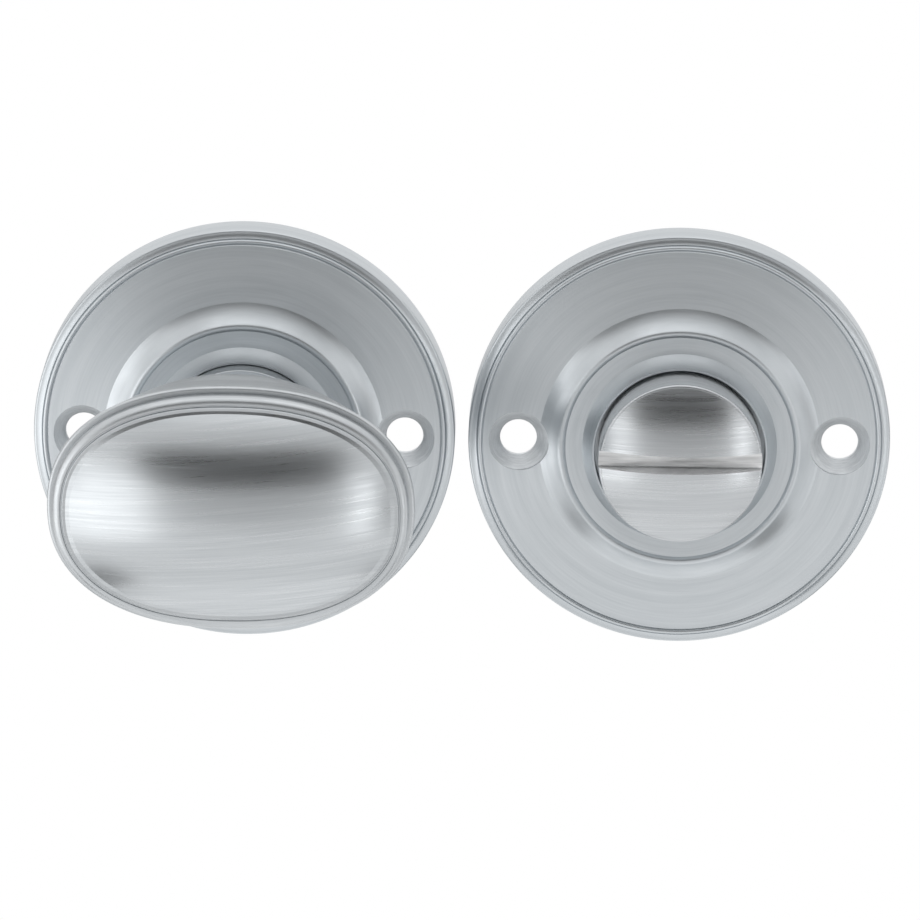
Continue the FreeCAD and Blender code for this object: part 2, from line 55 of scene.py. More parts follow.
# small mesh helpers
def arcTo(points, last, radius, bulge, steps):
    # goes on from the last of the points by an arc, bulge 1 bends to the right of the way, -1 to the left
    p, q = Vector(points[-1]), Vector(last)
    chord = q - p
    reach = sqrt(max(radius * radius - chord.length_squared / 4, 0.0))
    left = Vector((-chord.y, chord.x)).normalized()
    middle = (p + q) / 2 + left * reach * bulge
    start = atan2(p.y - middle.y, p.x - middle.x)
    end = atan2(q.y - middle.y, q.x - middle.x)
    turn = (end - start + pi) % tau - pi
    for step in range(1, steps):
        angle = start + turn * step / steps
        points.append((middle.x + radius * cos(angle), middle.y + radius * sin(angle)))
    points.append(last)


def lineTo(points, last, steps):
    p, q = Vector(points[-1]), Vector(last)
    points.extend(tuple(p.lerp(q, step / steps)) for step in range(1, steps))
    points.append(last)


def latheMesh(points, closed, middleX, steps):
    # spins a (radius, height) profile round the rose's axis, heights grow towards -Y
    bm = bmesh.new()
    verts = [bm.verts.new((r * mm, -h * mm, 0)) for r, h in points]
    pairs = list(zip(verts, verts[1:])) + ([(verts[-1], verts[0])] if closed else [])
    edges = [bm.edges.new(pair) for pair in pairs]
    bmesh.ops.spin(bm, geom=verts + edges, cent=(0, 0, 0), axis=(0, 1, 0), angle=tau,
                   steps=steps, use_merge=True, use_duplicate=False)
    bmesh.ops.remove_doubles(bm, verts=bm.verts, dist=1e-7)
    bmesh.ops.recalc_face_normals(bm, faces=bm.faces)
    bmesh.ops.translate(bm, verts=bm.verts, vec=(middleX, 0, 0))
    return bm


def newObject(name, bm):
    mesh = bpy.data.meshes.new(name)
    bm.to_mesh(mesh)
    bm.free()
    obj = bpy.data.objects.new(name, mesh)
    bpy.context.scene.collection.objects.link(obj)
    return obj


def combine(obj, tools, operation):
    # joins the tools to obj or takes them out of it for good, and clears them away
    for tool in tools:
        boolean = obj.modifiers.new("combine", "BOOLEAN")
        boolean.operation = operation
        boolean.solver = "EXACT"
        boolean.object = tool
    depsgraph = bpy.context.evaluated_depsgraph_get()
    combined = bpy.data.meshes.new_from_object(obj.evaluated_get(depsgraph))
    obj.modifiers.clear()
    obj.data = combined
    for tool in tools:
        bpy.data.objects.remove(tool)


def boxCutter(name, low, high):
    bm = bmesh.new()
    bmesh.ops.create_cube(bm, size=1)
    low, high = Vector(low), Vector(high)
    bmesh.ops.transform(bm, matrix=Matrix.LocRotScale((low + high) / 2, None, high - low), verts=bm.verts)
    return newObject(name, bm)


def finishMesh(obj, looks):
    # smooth shading, and the materials by which the faces are numbered afterwards
    for face in obj.data.polygons:
        face.use_smooth = True
    obj.data.set_sharp_from_angle(angle=radians(smoothAngle))
    obj.data.materials.clear()
    for look in looks:
        obj.data.materials.append(look)


# camera, fitted to the photograph's rims, rings and holes
camera = {
    "target": (25.70, 0.0, -4.05),
    "distance": 750.0,
    "azimuth": 0.82,
    "elevation": 16.5,
    "roll": 0.66,
    "lens": 244.5,
    "sensorWidth": 36,
    "nearest": 50.0,
    "farthest": 20000.0,
}


def directionOf(azimuth, elevation):
    # from the object towards a place round it, azimuth 0 is straight in front
    around, above = radians(azimuth), radians(elevation)
    return Vector((sin(around) * cos(above), -cos(around) * cos(above), sin(above)))


def makeCamera():
    around, tilt = radians(camera["azimuth"]), radians(camera["roll"])
    back = directionOf(camera["azimuth"], camera["elevation"])
    level = Vector((cos(around), sin(around), 0))
    upright = back.cross(level)
    right = level * cos(tilt) + upright * sin(tilt)
    up = upright * cos(tilt) - level * sin(tilt)
    data = bpy.data.cameras.new("camera")
    data.lens = camera["lens"]
    data.sensor_width = camera["sensorWidth"]
    data.clip_start = camera["nearest"] * mm
    data.clip_end = camera["farthest"] * mm
    obj = bpy.data.objects.new("camera", data)
    place = Matrix((right, up, back)).transposed().to_4x4()
    place.translation = (Vector(camera["target"]) + back * camera["distance"]) * mm
    obj.matrix_world = place
    bpy.context.scene.collection.objects.link(obj)
    bpy.context.scene.camera = obj


makeCamera()
print("camera placed")


# node helpers
def addNode(tree, kind, inputs=None, **settings):
    made = tree.nodes.new(kind)
    for key, value in settings.items():
        setattr(made, key, value)
    for key, value in (inputs or {}).items():
        if isinstance(value, bpy.types.NodeSocket):
            tree.links.new(value, made.inputs[key])
        else:
            made.inputs[key].default_value = value
    return made


def calc(tree, operation, first, second=0.0, third=0.0):
    return addNode(tree, "ShaderNodeMath", {0: first, 1: second, 2: third}, operation=operation).outputs[0]


def vectorCalc(tree, operation, first, second=(0.0, 0.0, 0.0)):
    made = addNode(tree, "ShaderNodeVectorMath", {0: first, 1: second}, operation=operation)
    return made.outputs["Value"] if operation == "LENGTH" else made.outputs["Vector"]


def scaleVector(tree, vector, scale):
    made = addNode(tree, "ShaderNodeVectorMath", {0: vector, "Scale": scale}, operation="SCALE")
    return made.outputs["Vector"]


def split(tree, vector):
    return addNode(tree, "ShaderNodeSeparateXYZ", {0: vector}).outputs


def join(tree, x, y, z):
    return addNode(tree, "ShaderNodeCombineXYZ", {"X": x, "Y": y, "Z": z}).outputs[0]


def spread(tree, value, fromLow, fromHigh, toLow=0.0, toHigh=1.0):
    return addNode(tree, "ShaderNodeMapRange", {
        "Value": value, "From Min": fromLow, "From Max": fromHigh, "To Min": toLow, "To Max": toHigh,
    }).outputs["Result"]


def noise(tree, place, scale, detail, roughness=0.5):
    inputs = {"Vector": place, "Scale": scale, "Detail": detail, "Roughness": roughness}
    return addNode(tree, "ShaderNodeTexNoise", inputs).outputs[0]


def mixColor(tree, factor, first, second):
    # 6, 7 and 2 are the Mix node's own colour sockets
    return addNode(tree, "ShaderNodeMix", {0: factor, 6: first, 7: second}, data_type="RGBA").outputs[2]


def newGroup(name, inputs, outputs):
    group = bpy.data.node_groups.new(name, "ShaderNodeTree")
    for label, kind, default in inputs:
        socket = group.interface.new_socket(label, in_out="INPUT", socket_type=kind)
        if default is not None:
            socket.default_value = default
    for label, kind in outputs:
        group.interface.new_socket(label, in_out="OUTPUT", socket_type=kind)
    return group, addNode(group, "NodeGroupInput").outputs, addNode(group, "NodeGroupOutput").inputs


def putOutLines(group, place, bandScale, result):
    # fine lines give the height, and with broader bands among them the variation
    fine = noise(group, place, 1.0, 3.0, 0.6)
    bands = noise(group, place, bandScale, 2.0)
    group.links.new(fine, result["Height"])
    group.links.new(spread(group, calc(group, "ADD", fine, bands), 0.7, 1.3), result["Variation"])


# fine circles left by turning or polishing, about the Y axis of the given position
def makeCircleMarks():
    group, given, result = newGroup("circleMarks", [
        ("Position", "NodeSocketVector", None),
        ("Lines Per Metre", "NodeSocketFloat", 6000.0),
        ("Arc Share", "NodeSocketFloat", 3.0),
    ], [("Height", "NodeSocketFloat"), ("Variation", "NodeSocketFloat")])
    flat = vectorCalc(group, "MULTIPLY", given["Position"], (1, 0, 1))
    reach = vectorCalc(group, "LENGTH", flat)
    way = scaleVector(group, vectorCalc(group, "NORMALIZE", flat), given["Arc Share"])
    depth = split(group, given["Position"])["Y"]
    along = calc(group, "MULTIPLY", calc(group, "SUBTRACT", reach, depth), given["Lines Per Metre"])
    place = vectorCalc(group, "ADD", way, join(group, 0.0, along, 0.0))
    putOutLines(group, place, 0.22, result)
    return group


# straight brushing along X, for surfaces that face the front
def makeBrushing():
    group, given, result = newGroup("brushing", [
        ("Position", "NodeSocketVector", None),
        ("Lines Per Metre", "NodeSocketFloat", 5000.0),
        ("Line Length", "NodeSocketFloat", 0.008),
        ("Tilt", "NodeSocketFloat", 0.0),
    ], [("Height", "NodeSocketFloat"), ("Variation", "NodeSocketFloat")])
    tilted = addNode(group, "ShaderNodeVectorRotate", {"Vector": given["Position"], "Angle": given["Tilt"]},
                     rotation_type="Y_AXIS").outputs[0]
    parts = split(group, tilted)
    along = calc(group, "DIVIDE", parts["X"], given["Line Length"])
    deep = calc(group, "DIVIDE", parts["Y"], given["Line Length"])
    across = calc(group, "MULTIPLY", parts["Z"], given["Lines Per Metre"])
    putOutLines(group, join(group, along, deep, across), 0.25, result)
    return group


# hair scratches in three directions, long and thin
def makeScratches():
    group, given, result = newGroup("scratches", [
        ("Position", "NodeSocketVector", None),
        ("Per Metre", "NodeSocketFloat", 4500.0),
        ("Rarity", "NodeSocketFloat", 0.7),
    ], [("Mask", "NodeSocketFloat")])
    sharpness = 0.04
    total = None
    for turn, stretch in ((0.5, 0.02), (2.1, 0.03), (2.75, 0.016)):
        turned = addNode(group, "ShaderNodeMapping", {
            "Vector": given["Position"], "Rotation": (0, turn, 0), "Scale": (stretch, 0.05, 1),
        }).outputs[0]
        cloud = noise(group, scaleVector(group, turned, given["Per Metre"]), 1.0, 1.0)
        line = spread(group, cloud, given["Rarity"], calc(group, "ADD", given["Rarity"], sharpness))
        total = line if total is None else calc(group, "MAXIMUM", total, line)
    group.links.new(total, result["Mask"])
    return group


# single tiny pits, most cells stay empty
def makePits():
    group, given, result = newGroup("pits", [
        ("Position", "NodeSocketVector", None),
        ("Per Metre", "NodeSocketFloat", 400.0),
        ("Size", "NodeSocketFloat", 0.06),
        ("Share", "NodeSocketFloat", 0.03),
    ], [("Mask", "NodeSocketFloat")])
    coreShare = 0.4
    cells = addNode(group, "ShaderNodeTexVoronoi", {
        "Vector": given["Position"], "Scale": given["Per Metre"],
    })
    chosen = calc(group, "LESS_THAN", split(group, cells.outputs["Color"])["X"], given["Share"])
    core = calc(group, "MULTIPLY", given["Size"], coreShare)
    dot = spread(group, cells.outputs["Distance"], given["Size"], core)
    group.links.new(calc(group, "MULTIPLY", chosen, dot), result["Mask"])
    return group


groups = {
    "circleMarks": makeCircleMarks(),
    "brushing": makeBrushing(),
    "scratches": makeScratches(),
    "pits": makePits(),
}


def groupNode(tree, name, inputs):
    return addNode(tree, "ShaderNodeGroup", inputs, node_tree=groups[name]).outputs


def newMaterial(name):
    material = bpy.data.materials.new(name)
    material.use_nodes = True
    tree = material.node_tree
    return material, tree, tree.nodes["Principled BSDF"]


def centredPosition(tree, middleX):
    coordinates = addNode(tree, "ShaderNodeTexCoord").outputs["Object"]
    moved = {"Vector": coordinates, "Location": (-middleX, 0, 0)}
    return addNode(tree, "ShaderNodeMapping", moved).outputs[0]


def addBump(tree, surface, height, strength, distance):
    bump = addNode(tree, "ShaderNodeBump", {"Height": height, "Strength": strength, "Distance": distance})
    tree.links.new(bump.outputs[0], surface.inputs["Normal"])


# satin chrome plating, with turning marks or brushing, scratches and pits; the copies for the holes, the
# disc's wall and the slot have lighter tones, painted light
plates = {
    "rosePlate": {"tone": (0.6, 0.63, 0.652, 1), "deepTone": (0.535, 0.567, 0.59, 1), "roughness": 0.3,
                  "markRoughness": 0.08, "pattern": "circleMarks", "lines": 5200.0, "bump": 0.4,
                  "anisotropy": 0.5, "turn": 0.25},
    # countersinks and screw holes: the plating with a much lighter tone than the face's, painted light, and
    # rougher ring marks
    "holePlatePaintedLight": {"tone": (0.84, 0.865, 0.885, 1), "deepTone": (0.66, 0.685, 0.705, 1), "roughness": 0.48,
                  "markRoughness": 0.1, "pattern": "circleMarks", "lines": 4200.0, "bump": 0.5},
    "knobPlate": {"tone": (0.58, 0.603, 0.62, 1), "deepTone": (0.505, 0.53, 0.548, 1), "roughness": 0.26,
                  "markRoughness": 0.07, "pattern": "brushing", "lines": 6200.0, "bump": 0.24,
                  "tilt": 0.09, "lineLength": 0.008},
    "knobSidePlate": {"tone": (0.59, 0.613, 0.63, 1), "deepTone": (0.515, 0.54, 0.558, 1),
                      "roughness": 0.34, "markRoughness": 0.07, "pattern": "circleMarks", "lines": 6200.0,
                      "bump": 0.3, "oval": 1.455},
    "discPlate": {"tone": (0.575, 0.594, 0.61, 1), "deepTone": (0.5, 0.52, 0.537, 1), "roughness": 0.25,
                  "markRoughness": 0.08, "pattern": "brushing", "lines": 6500.0, "bump": 0.2,
                  "tilt": 0.02, "lineLength": 0.008},
    # the disc's outer wall: the plating with a lighter tone than the disc's front, painted light, and
    # rougher
    "wallPlatePaintedLight": {"tone": (0.74, 0.765, 0.785, 1), "deepTone": (0.6, 0.625, 0.645, 1), "roughness": 0.52,
                  "markRoughness": 0.1, "pattern": "circleMarks", "lines": 5200.0, "bump": 0.5},
    # the slot: a near white tone, painted light, streaked by the brushing with a darker tone
    "slotPlatePaintedLight": {"tone": (0.97, 0.975, 0.98, 1), "deepTone": (0.6, 0.605, 0.61, 1), "roughness": 0.5,
                  "markRoughness": 0.15, "pattern": "brushing", "lines": 3200.0, "bump": 0.9,
                  "tilt": 0.0, "lineLength": 0.004},
}
# wear that every plated face has, the depths as shares of the marks' own
plateWear = {"scratchRoughness": 0.04, "scratchDepth": 0.25, "pitDepth": 6.0, "markDepth": 0.004}


def makePlate(kind, name, middleX):
    look = plates[kind]
    material, tree, surface = newMaterial(name)
    position = centredPosition(tree, middleX)
    if kind == "holePlatePaintedLight":
        # both holes lie at the same reach, so folding the left onto the right centres the marks on each
        parts = split(tree, position)
        folded = calc(tree, "SUBTRACT", calc(tree, "ABSOLUTE", parts["X"]), fixingReach * mm)
        position = join(tree, folded, parts["Y"], parts["Z"])
    if "oval" in look:
        stretched = {"Vector": position, "Scale": (1, 1, look["oval"])}
        position = addNode(tree, "ShaderNodeMapping", stretched).outputs[0]
    given = {"Position": position, "Lines Per Metre": look["lines"]}
    if look["pattern"] == "brushing":
        given["Tilt"] = look["tilt"]
        given["Line Length"] = look["lineLength"]
    marks = groupNode(tree, look["pattern"], given)
    scratches = groupNode(tree, "scratches", {"Position": position})["Mask"]
    pits = groupNode(tree, "pits", {"Position": position})["Mask"]
    tone = mixColor(tree, marks["Variation"], look["tone"], look["deepTone"])
    tree.links.new(tone, surface.inputs["Base Color"])
    rough = calc(tree, "MULTIPLY_ADD", marks["Variation"], look["markRoughness"], look["roughness"])
    rough = calc(tree, "MULTIPLY_ADD", scratches, plateWear["scratchRoughness"], rough)
    tree.links.new(rough, surface.inputs["Roughness"])
    height = calc(tree, "MULTIPLY_ADD", scratches, -plateWear["scratchDepth"], marks["Height"])
    height = calc(tree, "MULTIPLY_ADD", pits, -plateWear["pitDepth"], height)
    addBump(tree, surface, height, look["bump"], plateWear["markDepth"] * mm)
    surface.inputs["Metallic"].default_value = 1.0
    surface.inputs["Anisotropic"].default_value = look.get("anisotropy", 0.0)
    surface.inputs["Anisotropic Rotation"].default_value = look.get("turn", 0.0)
    around = addNode(tree, "ShaderNodeTangent", direction_type="RADIAL", axis="Y")
    tree.links.new(around.outputs[0], surface.inputs["Tangent"])
    return material


# zinc plated and spring steel parts behind the rose, the rose's own cast inside, and nylon bushes
inners = {
    "washerSteel": {"tone": (0.52, 0.53, 0.54, 1), "deepTone": (0.4, 0.41, 0.42, 1), "roughness": 0.34},
    "castInside": {"tone": (0.5, 0.5, 0.49, 1), "deepTone": (0.41, 0.41, 0.4, 1), "roughness": 0.5},
    "springSteel": {"tone": (0.3, 0.31, 0.33, 1), "deepTone": (0.22, 0.225, 0.24, 1), "roughness": 0.3},
    "spindleSteel": {"tone": (0.5, 0.51, 0.53, 1), "deepTone": (0.44, 0.45, 0.47, 1), "roughness": 0.32},
    "nylon": {"tone": (0.8, 0.79, 0.76, 1), "deepTone": (0.72, 0.71, 0.68, 1), "roughness": 0.48},
}
steelWear = {"cloudsPerMetre": 420.0, "cloudRoughness": 0.12, "rarity": 0.66, "scratchRoughness": 0.1,
             "scratchDepth": 0.5, "bump": 0.3, "cloudDepth": 0.01}
nylonGrain = {"cloudsPerMetre": 900.0, "cloudRoughness": 0.1, "bump": 0.2, "cloudDepth": 0.02, "glow": 0.05}


def makeSteel(name):
    look, wear = inners[name], steelWear
    material, tree, surface = newMaterial(name)
    position = centredPosition(tree, 0.0)
    cloud = noise(tree, position, wear["cloudsPerMetre"], 4.0)
    scratches = groupNode(tree, "scratches", {"Position": position, "Rarity": wear["rarity"]})["Mask"]
    tone = mixColor(tree, spread(tree, cloud, 0.35, 0.65), look["tone"], look["deepTone"])
    tree.links.new(tone, surface.inputs["Base Color"])
    rough = calc(tree, "MULTIPLY_ADD", cloud, wear["cloudRoughness"], look["roughness"])
    rough = calc(tree, "MULTIPLY_ADD", scratches, wear["scratchRoughness"], rough)
    tree.links.new(rough, surface.inputs["Roughness"])
    height = calc(tree, "MULTIPLY_ADD", scratches, -wear["scratchDepth"], cloud)
    addBump(tree, surface, height, wear["bump"], wear["cloudDepth"] * mm)
    surface.inputs["Metallic"].default_value = 1.0
    return material


def makeNylon(name):
    look, grain = inners[name], nylonGrain
    material, tree, surface = newMaterial(name)
    cloud = noise(tree, centredPosition(tree, 0.0), grain["cloudsPerMetre"], 3.0)
    tone = mixColor(tree, spread(tree, cloud, 0.3, 0.7), look["tone"], look["deepTone"])
    tree.links.new(tone, surface.inputs["Base Color"])
    rough = calc(tree, "MULTIPLY_ADD", cloud, grain["cloudRoughness"], look["roughness"])
    tree.links.new(rough, surface.inputs["Roughness"])
    addBump(tree, surface, cloud, grain["bump"], grain["cloudDepth"] * mm)
    surface.inputs["Subsurface Weight"].default_value = grain["glow"]
    return material


materials = {name: makeNylon(name) if name == "nylon" else makeSteel(name) for name in inners}


# rose: the turned profile from the door edge of the rim over the steps into the seat
rose = {
    "seat": 10.1, "seatEdge": 0.1, "seatHeight": 7.0, "bossRim": 0.25,
    "upperRun": 1.2, "upperRise": 2.25, "floor": 2.17, "lip": 0.71, "lipDrop": 0.18, "lipArc": 0.554,
    "lowerRun": 2.25, "lowerRise": 1.6, "coveShare": 2.2,
    "faceEdge": 4.85, "faceRise": 0.93, "notch": 0.08, "notchDepth": 0.08,
    "bead": 0.5, "beadRise": 0.15, "beadRadius": 0.27, "band": 0.95, "bandRise": 0.25, "bandArc": 1.57,
    "rimHeight": 4.3, "rimEdge": 0.3, "rimWall": 2.0, "faceWall": 2.35,
    "bore": 5.5, "hub": 8.5, "hubHeight": 3.6,
    "fixingHole": 2.2, "countersink": 3.6, "bite": 1.13, "margin": 0.6, "bossRadius": 4.3, "bossBore": 3.1,
    "steps": 256, "holeSteps": 96,
}
# radii of its rings, each from the one inside it, and the heights of its steps
bossTop = rose["seat"] + rose["bossRim"]
upperFoot = bossTop + rose["upperRun"]
lipIn = upperFoot + rose["floor"]
lowerTop = lipIn + rose["lip"]
lowerFoot = lowerTop + rose["lowerRun"]
fixingReach = lowerFoot - rose["bite"] + rose["countersink"]
faceOut = fixingReach + rose["countersink"] + rose["margin"]
beadIn = faceOut + 2 * rose["notch"]
beadOut = beadIn + rose["bead"]
bandIn = beadOut + 2 * rose["notch"]
rimOut = bandIn + rose["band"]
footHeight = rose["faceEdge"] + rose["faceRise"]
stepHeight = footHeight + rose["lowerRise"]
floorHeight = stepHeight - rose["lipDrop"]
bossHeight = floorHeight + rose["upperRise"]
cavityHeight = footHeight - rose["faceWall"] - rose["faceRise"] / 2
ceilingHeight = floorHeight - rose["faceWall"]
mouthHeight = rose["faceEdge"] + rose["faceRise"] * 0.15


def coveTo(points, last):
    # a hollow whose radius goes with its own width
    radius = (Vector(last) - Vector(points[-1])).length * rose["coveShare"]
    arcTo(points, last, radius, -1, 12)


def roseProfile():
    r = rose
    points = [(rimOut, 0.0), (rimOut, r["rimHeight"] - r["rimEdge"])]
    arcTo(points, (rimOut - r["rimEdge"], r["rimHeight"]), r["rimEdge"], 1, 10)
    bandHeight = r["rimHeight"] + r["bandRise"]
    beadHeight = bandHeight + r["beadRise"]
    arcTo(points, (bandIn, bandHeight), r["bandArc"], -1, 8)
    points += [(bandIn - r["notch"], bandHeight - r["notchDepth"]), (beadOut, beadHeight)]
    arcTo(points, (beadIn, beadHeight), r["beadRadius"], 1, 16)
    points += [(beadIn - r["notch"], r["faceEdge"] - r["notchDepth"]), (faceOut, r["faceEdge"])]
    lineTo(points, (lowerFoot, footHeight), 16)
    coveTo(points, (lowerTop, stepHeight))
    arcTo(points, (lipIn, stepHeight), r["lipArc"], 1, 10)
    points.append((lipIn - r["lipDrop"], floorHeight))
    lineTo(points, (upperFoot, floorHeight), 5)
    coveTo(points, (bossTop, bossHeight))
    points.append((r["seat"] + r["seatEdge"], bossHeight))
    arcTo(points, (r["seat"], bossHeight - r["seatEdge"]), r["seatEdge"], 1, 8)
    # inside: seat, bore, hub, ceiling and the hollow back
    points += [(r["seat"], r["seatHeight"]), (r["bore"], r["seatHeight"]), (r["bore"], r["hubHeight"]),
               (r["hub"], r["hubHeight"]), (r["hub"], ceilingHeight), (lipIn, ceilingHeight),
               (lipIn, cavityHeight)]
    lineTo(points, (rimOut - r["rimWall"], cavityHeight), 16)
    points.append((rimOut - r["rimWall"], 0.0))
    return points


def holeCutter(name, middleX):
    # bored boss, screw hole, 90 degree cone and a straight relief where the cone meets the step
    hole, sink, bore = rose["fixingHole"], rose["countersink"], rose["bossBore"]
    points = [(0.0, -1.0), (bore, -1.0), (bore, cavityHeight), (hole, cavityHeight),
              (hole, mouthHeight - (sink - hole)), (sink, mouthHeight),
              (sink, bossHeight), (0.0, bossHeight)]
    return newObject(name, latheMesh(points, False, middleX, rose["holeSteps"]))


def fixingBoss(name, middleX):
    top = cavityHeight + rose["faceWall"] / 4
    points = [(0.0, 0.0), (rose["bossRadius"], 0.0), (rose["bossRadius"], top), (0.0, top)]
    return newObject(name, latheMesh(points, False, middleX, rose["holeSteps"]))


def makeRose(side, middleX, node):
    obj = newObject(side + "Rose", latheMesh(roseProfile(), True, middleX, rose["steps"]))
    places = [middleX + way * fixingReach * mm for way in (-1, 1)]
    combine(obj, [fixingBoss(side + "Boss", x) for x in places], "UNION")
    combine(obj, [holeCutter(side + "Hole", x) for x in places], "DIFFERENCE")
    # the countersinks get the lighter copy of the plating, painted light
    finishMesh(obj, [
        makePlate("rosePlate", side + "RosePlate", middleX),
        makePlate("holePlatePaintedLight", side + "HolePlatePaintedLight", middleX),
        materials["castInside"],
    ])
    for face in obj.data.polygons:
        middle = face.center / mm - Vector((middleX / mm, 0, 0))
        height = -middle.y
        reach = Vector((middle.x, middle.z)).length
        inside = cavityHeight if reach > lipIn else ceilingHeight
        away = Vector((abs(middle.x) - fixingReach, middle.z)).length
        faceOn = abs(face.normal.y) > 0.95
        if reach < rimOut - rose["rimWall"] + hair and height < inside + hair:
            face.material_index = 2
        elif away < rose["countersink"] + 2 * hair and not faceOn and height < bossHeight:
            face.material_index = 1
    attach(obj, "roses")
    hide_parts(node)


makeRose("turn", turnX, "turn_rose")
makeRose("release", releaseX, "release_rose")
print("roses made")

# shank behind both turning pieces, from its tail to the shoulder in the seat
shank = {
    "radius": 4.5, "tail": -1.5, "chamfer": 0.2, "grooveRadius": 4.05, "grooveBack": 1.6, "grooveFront": 2.5,
    "shoulder": 7.9, "socket": 5.1, "socketHeight": 9.0,
    "pinRadius": 0.77, "pinHeight": 0.2, "pinLength": 20,
}


def shankPoints():
    s = shank
    return [(0.0, s["tail"]), (s["radius"] - s["chamfer"], s["tail"]),
            (s["radius"], s["tail"] + s["chamfer"]), (s["radius"], s["grooveBack"]),
            (s["grooveRadius"], s["grooveBack"]), (s["grooveRadius"], s["grooveFront"]),
            (s["radius"], s["grooveFront"]), (s["radius"], s["shoulder"])]


def socketCutter(name, middleX):
    half = shank["socket"] / 2 * mm
    return boxCutter(name, (middleX - half, -shank["socketHeight"] * mm, -half),
                     (middleX + half, (1 - shank["tail"]) * mm, half))


# coin release: domed disc with a slot right across, and a fine saw line in the slot's lower corner
disc = {
    "clearance": 0.45, "height": 14.0, "edge": 0.35, "rise": 2.2, "steps": 192,
    "slotWidth": 2.1, "slotDepth": 2.85, "slotOffset": 0.4, "cornerWidth": 0.2, "cornerDepth": 0.35,
}


def makeDisc():
    d = disc
    radius = rose["seat"] - d["clearance"]
    shoulder = shank["shoulder"]
    top = d["height"] + d["rise"]
    points = shankPoints()
    points += [(radius - d["edge"], shoulder), (radius, shoulder + d["edge"]),
               (radius, d["height"] - d["edge"])]
    arcTo(points, (radius - d["edge"], d["height"]), d["edge"], 1, 12)
    domeRadius = ((radius - d["edge"]) ** 2 + d["rise"] ** 2) / (2 * d["rise"])
    arcTo(points, (0.0, top), domeRadius, 1, 24)
    obj = newObject("releaseDisc", latheMesh(points, False, releaseX, d["steps"]))
    slotLow = d["slotOffset"] - d["slotWidth"] / 2
    slotHigh = slotLow + d["slotWidth"]
    slotFloor = top - d["slotDepth"]
    cornerFloor = slotFloor - d["cornerDepth"]
    cornerHigh = slotLow + d["cornerWidth"]
    start = (releaseX - 2 * radius * mm, -2 * top * mm, slotLow * mm)
    end = releaseX + 2 * radius * mm
    slot = boxCutter("slotCutter", start, (end, -slotFloor * mm, slotHigh * mm))
    corner = boxCutter("slotCorner", start, (end, -cornerFloor * mm, cornerHigh * mm))
    combine(obj, [slot, corner, socketCutter("discSocket", releaseX)], "DIFFERENCE")
    # the slot gets the near white copy of the plating, painted light
    finishMesh(obj, [
        makePlate("discPlate", "discPlate", releaseX),
        makePlate("slotPlatePaintedLight", "slotPlatePaintedLight", releaseX),
        makePlate("wallPlatePaintedLight", "discWallPlatePaintedLight", releaseX),
    ])
    for face in obj.data.polygons:
        height, z = -face.center.y / mm, face.center.z / mm
        away = Vector((face.center.x - releaseX, face.center.z)).length / mm
        if slotLow - hair < z < slotHigh + hair and height > cornerFloor - hair:
            face.material_index = 1
        # the outer wall gets the lighter copy of the plating, painted light
        elif away > radius - 10 * hair and height < d["height"] - d["edge"]:
            face.material_index = 2
    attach(obj, "release")
    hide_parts("release_disc")


makeDisc()
print("coin release made")

# thumb turn: rings round the axis, circles on the shank that grow into the head's oval
knob = {
    "steps": 192, "flareSteps": 40, "domeSteps": 40,
    "baseClearance": 0.1, "baseHeight": 11.8, "baseEdge": 0.15,
    "neckRadius": 6.3, "neckHeight": 14.5, "neckFillet": 0.8, "neckStep": 0.05,
    "headHalfLength": 21.1, "headHalfWidth": 14.5, "headFullness": 2.27,
    "headHeight": 34.0, "lip": 0.9, "lipEdge": 0.35,
    "beadInset": 0.7, "beadHeight": 1.9, "beadRadius": 0.85,
    "grooveInset": 1.6, "grooveWidth": 0.25, "grooveDepth": 0.13, "grooveSlope": 0.07,
    "stepWidth": 0.4, "stepEdge": 0.08, "stepRise": 0.15,
    "domeRise": 4.93,
    # height share, half length share, half width share on the way from neck to head
    "flare": [(0.0, 0.0, 0.0), (0.24, 0.11, 0.17), (0.44, 0.33, 0.63), (0.62, 0.66, 0.95),
              (0.82, 0.9, 0.985), (1.0, 1.0, 1.0)],
}


def smoothTable(table, share):
    # Catmull-Rom through the table's rows, by their first number
    last = len(table) - 1
    index = max(i for i in range(last) if table[i][0] <= share + 1e-9)
    rows = [table[max(index - 1, 0)], table[index], table[index + 1], table[min(index + 2, last)]]
    t = (share - rows[1][0]) / (rows[2][0] - rows[1][0])
    made = []
    for column in range(1, len(table[0])):
        p0, p1, p2, p3 = (row[column] for row in rows)
        made.append(0.5 * (2 * p1 + (p2 - p0) * t + (2 * p0 - 5 * p1 + 4 * p2 - p3) * t * t
                           + (3 * p1 - p0 - 3 * p2 + p3) * t ** 3))
    return made


def ovalPoint(angle, halfLength, halfWidth, fullness, inset):
    # a point on a superellipse, moved inwards square to it
    c, s = cos(angle), sin(angle)
    reach = (abs(c / halfLength) ** fullness + abs(s / halfWidth) ** fullness) ** (-1 / fullness)
    x, z = reach * c, reach * s
    slopeX = abs(x / halfLength) ** (fullness - 1) / halfLength * (1 if x >= 0 else -1)
    slopeZ = abs(z / halfWidth) ** (fullness - 1) / halfWidth * (1 if z >= 0 else -1)
    slope = sqrt(slopeX ** 2 + slopeZ ** 2)
    return x - slopeX / slope * inset, z - slopeZ / slope * inset


def stemPoints():
    # shank, base disc and the fillet that starts the neck
    k = knob
    base, edge, shoulder = rose["seat"] - k["baseClearance"], k["baseEdge"], shank["shoulder"]
    neck, fillet, baseHeight = k["neckRadius"], k["neckFillet"], k["baseHeight"]
    points = shankPoints()[1:]
    points += [(base - edge, shoulder), (base, shoulder + edge), (base, baseHeight - edge)]
    arcTo(points, (base - edge, baseHeight), edge, 1, 10)
    points.append((neck + fillet, baseHeight))
    arcTo(points, (neck + k["neckStep"], baseHeight + fillet), fillet, -1, 10)
    return points


